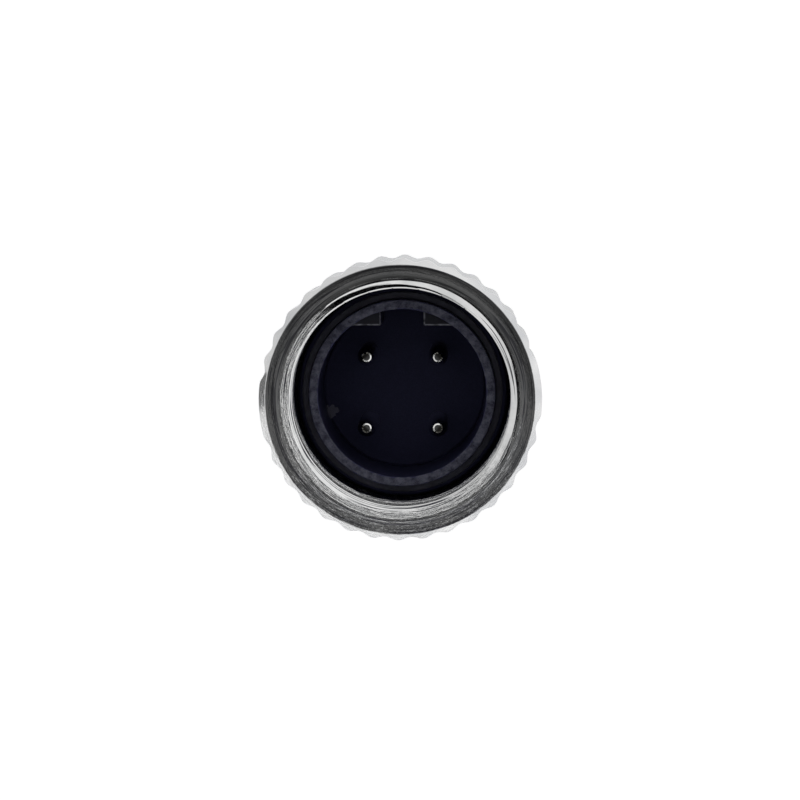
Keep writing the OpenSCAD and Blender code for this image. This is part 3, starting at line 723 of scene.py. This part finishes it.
shellLow, shellHigh = nodeSpan("back_shell")
shell = {
    "rear": 5.9, "front": nodeRadius("back_shell"), "gland": 4.75, "chamber": 4.5, "thread": 5.0,
    "mouth": 5.52, "edge": 0.25, "chamberLow": 12.6, "step": insertLow - 0.3,
    "seat": insert["seatLow"] - 0.05, "flatsLow": insertLow - 8, "flatsLength": 8, "across": 11.5,
    "collar": 1.2, "taper": 2.0, "corner": 0.04}
beyond = 8  # farther from the axis than any piece reaches
collarLow = shell["flatsLow"] - shell["collar"]
shellOutline = [
    (shell["gland"] + shell["edge"], shellLow), (shell["rear"] - shell["edge"], shellLow),
    (shell["rear"], shellLow + shell["edge"]), (shell["rear"], collarLow - shell["taper"]),
    (shell["front"], collarLow), (shell["front"], shellHigh - shell["edge"]),
    (shell["front"] - shell["edge"], shellHigh), (shell["mouth"], shellHigh),
    (shell["mouth"], shell["seat"]), (shell["thread"], shell["seat"]),
    (shell["thread"], shell["step"]), (shell["chamber"], shell["step"]),
    (shell["chamber"], shell["chamberLow"]), (shell["gland"], shell["chamberLow"]),
    (shell["gland"], shellLow + shell["edge"])]
shellPiece = turned("shell_body", shellOutline, 256)
for side in (-1, 1):
    near, far = side * shell["across"] / 2, side * beyond
    flat = block("flat_cut", (min(near, far), -beyond, shell["flatsLow"]),
                 (max(near, far), beyond, shell["flatsLow"] + shell["flatsLength"]))
    combined(shellPiece, flat, "DIFFERENCE")
cleaned(shellPiece, 30)
applied(shellPiece, "BEVEL", width=shell["corner"] * mm, segments=2, limit_method="ANGLE",
        angle_limit=math.radians(25))
cleaned(shellPiece, 30)
applied(shellPiece, "WEIGHTED_NORMAL", keep_sharp=True, weight=100)
dress(shellPiece, nickel)
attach(shellPiece, "housing")
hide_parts("back_shell")
print("shell made")


# gland nut

glandLow, glandHigh = nodeSpan("gland_nut")
gland = {
    "across": 10.5, "head": 7.0, "corner": 5.8, "chamfer": 0.9, "thread": 4.7, "edge": 0.25,
    "bore": mounts["cable_entry"]["dims"]["r_mm"], "flare": 0.9, "pocketLow": 10.5,
    "lip": 4.15, "lipTop": 11.15, "nose": 3.9, "rounded": 0.05, "cut": 4}
headOutline = (
    arc(gland["bore"] + gland["flare"], glandLow + gland["flare"], gland["flare"], 180, 270, 10)
    + [(gland["corner"] - gland["chamfer"], glandLow),
       (gland["corner"], glandLow + gland["chamfer"]),
       (gland["corner"], gland["head"] - gland["chamfer"] / 2),
       (gland["corner"] - gland["chamfer"], gland["head"]), (gland["thread"], gland["head"]),
       (gland["thread"], glandHigh - gland["edge"]), (gland["thread"] - gland["edge"], glandHigh),
       (gland["nose"], glandHigh), (gland["nose"], gland["lipTop"]),
       (gland["lip"], gland["lipTop"]), (gland["lip"], gland["pocketLow"]),
       (gland["bore"], gland["pocketLow"])])
glandPiece = turned("gland_body", headOutline)
flatAt = gland["across"] / 2
for step in range(6):
    cut = block("hex_cut", (flatAt, -beyond, glandLow - over),
                (flatAt + gland["cut"], beyond, gland["head"] + tiny))
    edit(cut)
    bpy.ops.mesh.select_all(action="SELECT")
    bpy.ops.transform.rotate(value=math.radians(30 + 60 * step), orient_axis="Z",
                             center_override=(0, 0, 0))
    leaveEdit()
    combined(glandPiece, cut, "DIFFERENCE")
cleaned(glandPiece, 25)
applied(glandPiece, "BEVEL", width=gland["rounded"] * mm, segments=2, limit_method="ANGLE",
        angle_limit=math.radians(22))
cleaned(glandPiece, 30)
applied(glandPiece, "WEIGHTED_NORMAL", keep_sharp=True, weight=100)
dress(glandPiece, nickel)
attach(glandPiece, "gland")
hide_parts("gland_nut")
print("gland nut made")


# pieces that stay as the frame has them

inner = {
    "nut_clip": wire, "contact_retainer": nylon, "shell_seal": rubber,
    "distance_shell_left": ivoryNylon, "distance_shell_right": ivoryNylon,
    "shield_ring_front": brass, "shield_ring_rear": brass, "cable_seal": rubber,
    "pressure_washer": brass, "pinch_ring": nylon, "thrust_ring": brass}
covered = {
    "coupling_nut": nickel, "contact_insert": nylon, "mating_seal": rubber, "contact_1": silver,
    "contact_2": silver, "contact_3": silver, "contact_4": silver, "back_shell": nickel,
    "gland_nut": nickel}
for name, material in {**inner, **covered}.items():
    dress(nodes[name], material)
print("frame pieces dressed")


# floor, light and camera

bpy.ops.object.select_all(action="DESELECT")
backdrop = {"size": 1.2, "colour": "#f4f4f4", "rough": 0.9, "glow": 0.62}
bpy.ops.mesh.primitive_plane_add(size=backdrop["size"], location=(0, 0, 0))
floor = named(bpy.context.object, "floor")
# matt white paper: plain white to the eye and in the metal, and it keeps the part's shadow
floorMaterial, floorTree, floorShader = newMaterial("mattWhitePaper")[:3]
floorShader.inputs["Base Color"].default_value = linear(backdrop["colour"])
floorShader.inputs["Roughness"].default_value = backdrop["rough"]
ray = add(floorTree, "ShaderNodeLightPath")
seen = add(floorTree, "ShaderNodeMath", {"operation": "MAXIMUM"},
           {0: ray.outputs["Is Camera Ray"], 1: ray.outputs["Is Glossy Ray"]})
glow = add(floorTree, "ShaderNodeMath", {"operation": "MULTIPLY", 1: backdrop["glow"]},
           {0: seen.outputs[0]})
floorShader.inputs["Emission Color"].default_value = (1, 1, 1, 1)
floorTree.links.new(glow.outputs[0], floorShader.inputs["Emission Strength"])
dress(floor, floorMaterial)

world = bpy.data.worlds.new("studio")
scene.world = world
world.use_nodes = True
sky = world.node_tree
sky.nodes.clear()
studio = {
    "lens": 0.26, "lensEdge": 10.2, "lensBlur": 1.6, "lensLean": (0.6, 4.7),
    "ceiling": 0.17, "ceilingLean": (0, 1.5, 0), "ceilingEdge": 45, "ceilingBlur": 4,
    "walls": 0.92, "wallsLean": (0.14, 0, 0),
    "flag": 0.2, "flagSide": 180, "flagDip": -0.066, "flagSize": 7, "flagBlur": 3}
direction = add(sky, "ShaderNodeTexCoord").outputs["Generated"]


def skyBand(axis, edge, blur, inside, outside):  # level by the angle from an axis, in degrees
    facing = add(sky, "ShaderNodeVectorMath", {"operation": "DOT_PRODUCT", 1: axis}, {0: direction})
    angle = add(sky, "ShaderNodeMath", {"operation": "ARCCOSINE"}, {0: facing.outputs["Value"]})
    return add(sky, "ShaderNodeMapRange", {
        "From Min": math.radians(edge - blur / 2), "From Max": math.radians(edge + blur / 2),
        "To Min": inside, "To Max": outside, "interpolation_type": "SMOOTHSTEP"},
        {"Value": angle.outputs[0]}).outputs[0]


leanX, leanY = (math.tan(math.radians(a)) for a in studio["lensLean"])
leanLength = math.sqrt(leanX ** 2 + leanY ** 2 + 1)
lens = skyBand((leanX / leanLength, leanY / leanLength, 1 / leanLength),
               studio["lensEdge"], studio["lensBlur"], studio["lens"], 1)
overhead = skyBand((0, 0, 1), studio["ceilingEdge"], studio["ceilingBlur"], 0, 1)
levels = []
for part in ("ceiling", "walls"):  # each is brighter towards one side of the room
    lean = studio[part + "Lean"]
    across = add(sky, "ShaderNodeVectorMath", {"operation": "DOT_PRODUCT", 1: lean}, {0: direction})
    levels.append(add(sky, "ShaderNodeMath", {"operation": "MULTIPLY_ADD", 1: studio[part],
                                              2: studio[part]}, {0: across.outputs["Value"]}))
around = add(sky, "ShaderNodeMix", {"data_type": "FLOAT"},
             {0: overhead, 2: levels[0].outputs[0], 3: levels[1].outputs[0]})
flagTurn = math.radians(studio["flagSide"])
flagAxis = (math.cos(flagTurn), math.sin(flagTurn), studio["flagDip"])
flag = skyBand(flagAxis, studio["flagSize"], studio["flagBlur"], studio["flag"], 1)
unflagged = add(sky, "ShaderNodeMath", {"operation": "MULTIPLY"}, {0: lens, 1: around.outputs[0]})
room = add(sky, "ShaderNodeMath", {"operation": "MULTIPLY"}, {0: flag, 1: unflagged.outputs[0]})
skyRay = add(sky, "ShaderNodeLightPath")
level = add(sky, "ShaderNodeMath", {"operation": "MAXIMUM"},
            {0: room.outputs[0], 1: skyRay.outputs["Is Camera Ray"]})
background = add(sky, "ShaderNodeBackground", {"Color": (1, 1, 1, 1)},
                 {"Strength": level.outputs[0]})
add(sky, "ShaderNodeOutputWorld", links={"Surface": background.outputs[0]})

view = {"distance": 150, "above": 3.9, "right": 1.2, "widthAtMouth": 40.2, "sensor": 36}
cameraData = bpy.data.cameras.new("camera")
camera = bpy.data.objects.new("camera", cameraData)
scene.collection.objects.link(camera)
cameraData.sensor_width = view["sensor"]
cameraData.lens = view["sensor"] * view["distance"] / view["widthAtMouth"]
cameraData.clip_start = 0.001
lean, swing = math.radians(view["above"]), math.radians(view["right"])
aim = Vector((math.sin(swing), math.sin(lean), math.cos(lean) * math.cos(swing)))
side = Vector((0, 1, 0)).cross(aim).normalized()
camera.location = Vector((0, 0, nutHigh * mm)) + aim * view["distance"] * mm
aim.normalize()
camera.rotation_euler = Matrix((side, aim.cross(side), aim)).transposed().to_euler()
scene.camera = camera
scene.view_settings.view_transform = "Standard"
